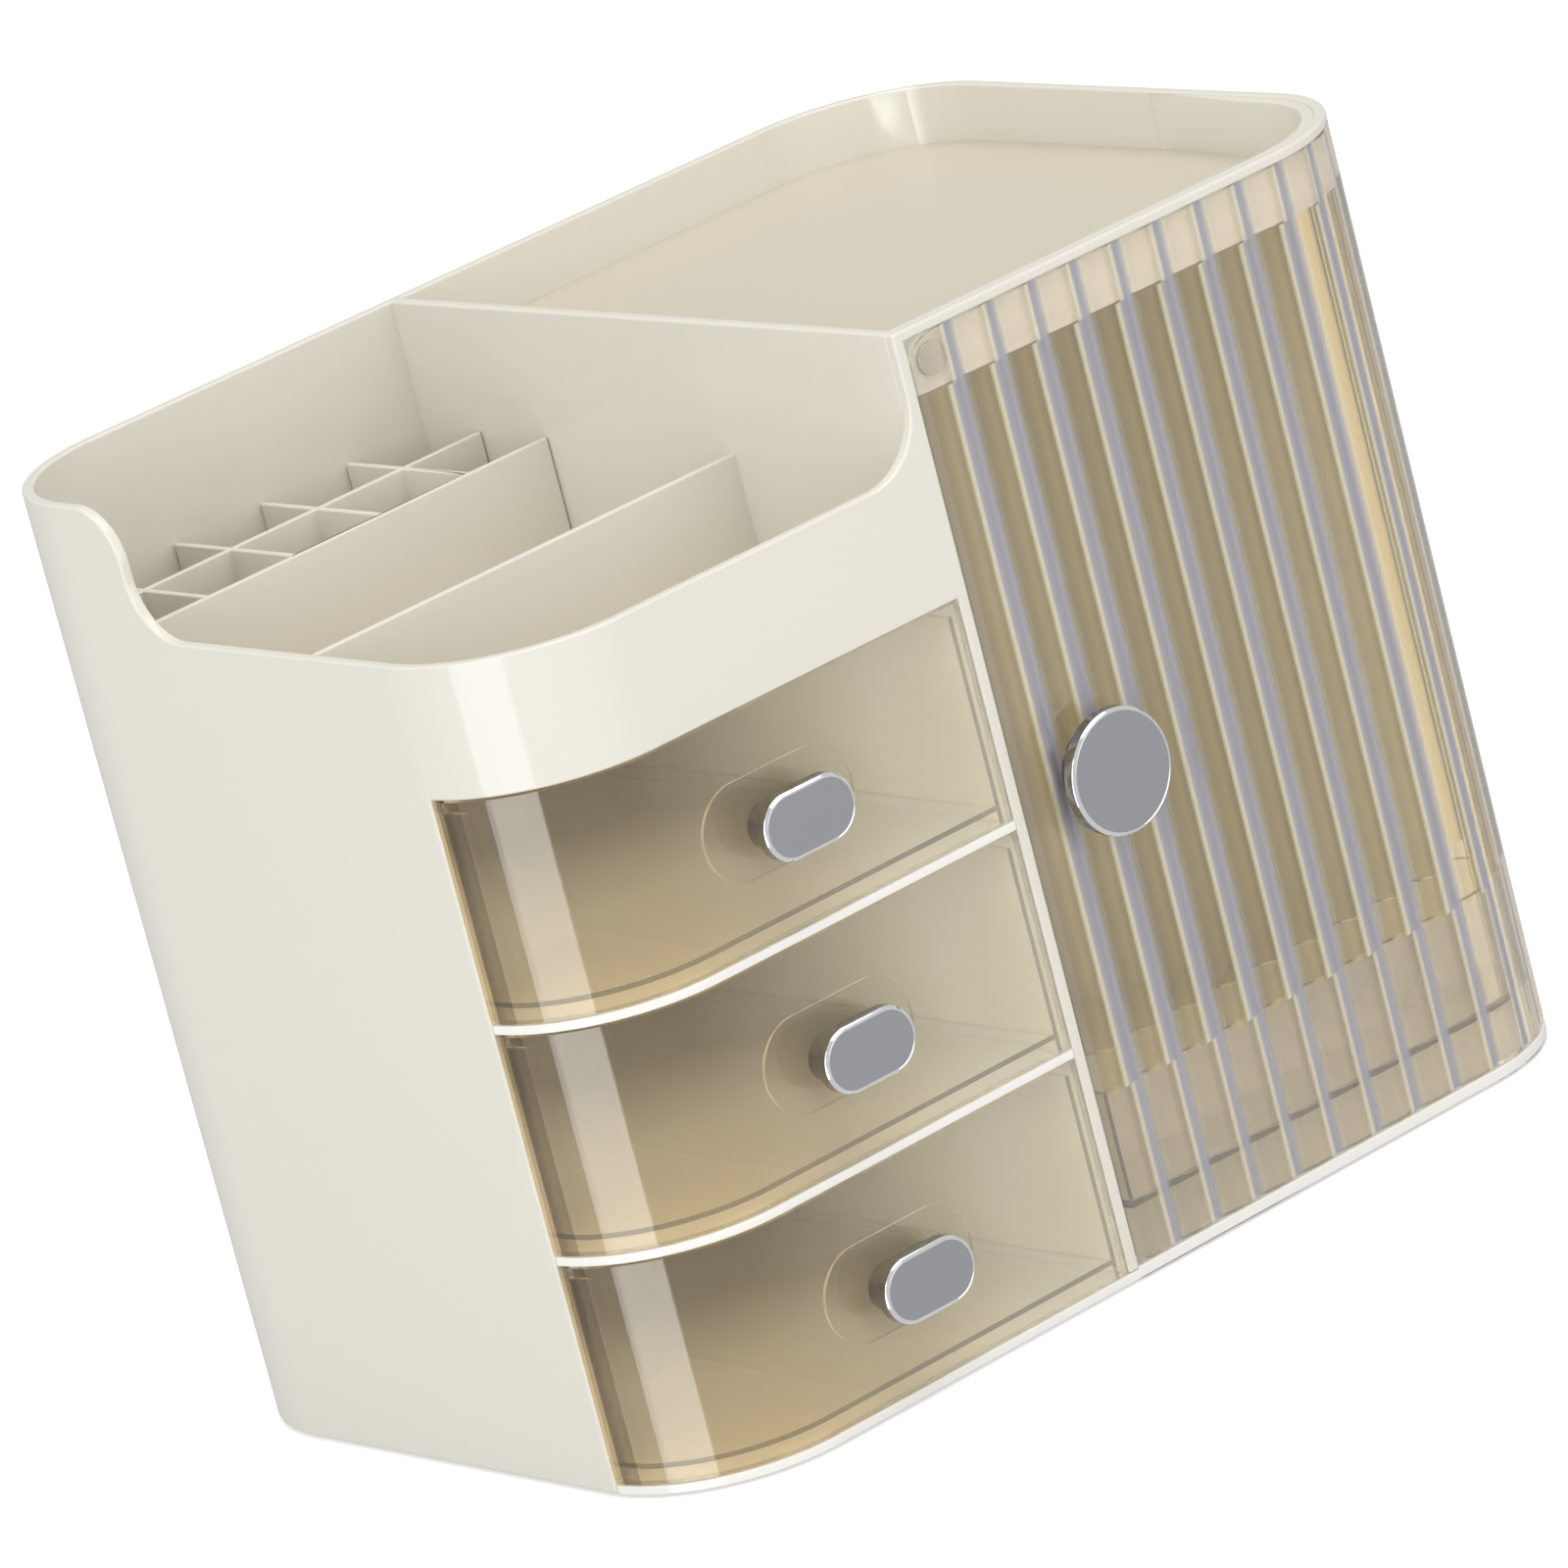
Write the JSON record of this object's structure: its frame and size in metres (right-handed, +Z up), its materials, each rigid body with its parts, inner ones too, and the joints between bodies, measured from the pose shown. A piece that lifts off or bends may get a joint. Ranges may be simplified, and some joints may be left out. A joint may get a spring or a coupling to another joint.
{
  "type": "makeup organizer",
  "caption": "Cream plastic makeup organizer with clear drawers, a reeded clear cabinet door that wraps round the corner, a lipstick grid and a shallow top tray.",
  "frame": {"origin": "under the middle of the whole object's bounding box, knobs counted in, on the surface it stands on", "axes": "X to the right seen from the front, Y to the back, Z up"},
  "size_m": [0.3, 0.2026, 0.2408],
  "materials": {
    "cream_plastic": "glossy warm cream moulded plastic",
    "clear_plastic": "clear moulded polystyrene",
    "knob_chrome": "plated pull with a bright bevelled rim and a satin face",
    "screw_steel": "bright zinc-plated steel",
    "foot_rubber": "matt anti-slip rubber"
  },
  "bodies": {
    "case": {"case_shell": "cream_plastic", "centre_divider": "cream_plastic", "base_plate": "cream_plastic", "drawer_shelf_lower": "cream_plastic", "drawer_shelf_upper": "cream_plastic", "compartment_floor": "cream_plastic", "compartment_partition": "cream_plastic", "top_tray": "cream_plastic", "catch_magnet": "screw_steel", "feet": "foot_rubber"},
    "grid": {"lipstick_grid": "cream_plastic"},
    "bottom_drawer": {"drawer_bottom": "clear_plastic", "drawer_knob_bottom": "knob_chrome", "knob_screw_bottom": "screw_steel"},
    "middle_drawer": {"drawer_middle": "clear_plastic", "drawer_knob_middle": "knob_chrome", "knob_screw_middle": "screw_steel"},
    "top_drawer": {"drawer_top": "clear_plastic", "drawer_knob_top": "knob_chrome", "knob_screw_top": "screw_steel"},
    "door": {"cabinet_door": "clear_plastic", "door_pocket": "clear_plastic", "door_knob": "knob_chrome", "door_knob_screw": "screw_steel", "hinge_pin_upper": "screw_steel", "hinge_pin_lower": "screw_steel", "door_magnet": "screw_steel"}
  },
  "joints": [
    {"name": "drawer_slide_bottom", "type": "slide", "parent": "case", "child": "bottom_drawer", "axis": [0, -1, 0], "range_m": [0, 0.14]},
    {"name": "drawer_slide_middle", "type": "slide", "parent": "case", "child": "middle_drawer", "axis": [0, -1, 0], "range_m": [0, 0.14]},
    {"name": "drawer_slide_top", "type": "slide", "parent": "case", "child": "top_drawer", "axis": [0, -1, 0], "range_m": [0, 0.14]},
    {"name": "door_hinge", "type": "hinge", "parent": "case", "child": "door", "pos_m": [0.1485, -0.04775, 0.12], "axis": [0, 0, 1], "range_deg": [0, 100]},
    {"name": "grid_lift", "type": "slide", "parent": "case", "child": "grid", "axis": [0, 0, 1], "range_m": [0, 0.08]}
  ]
}
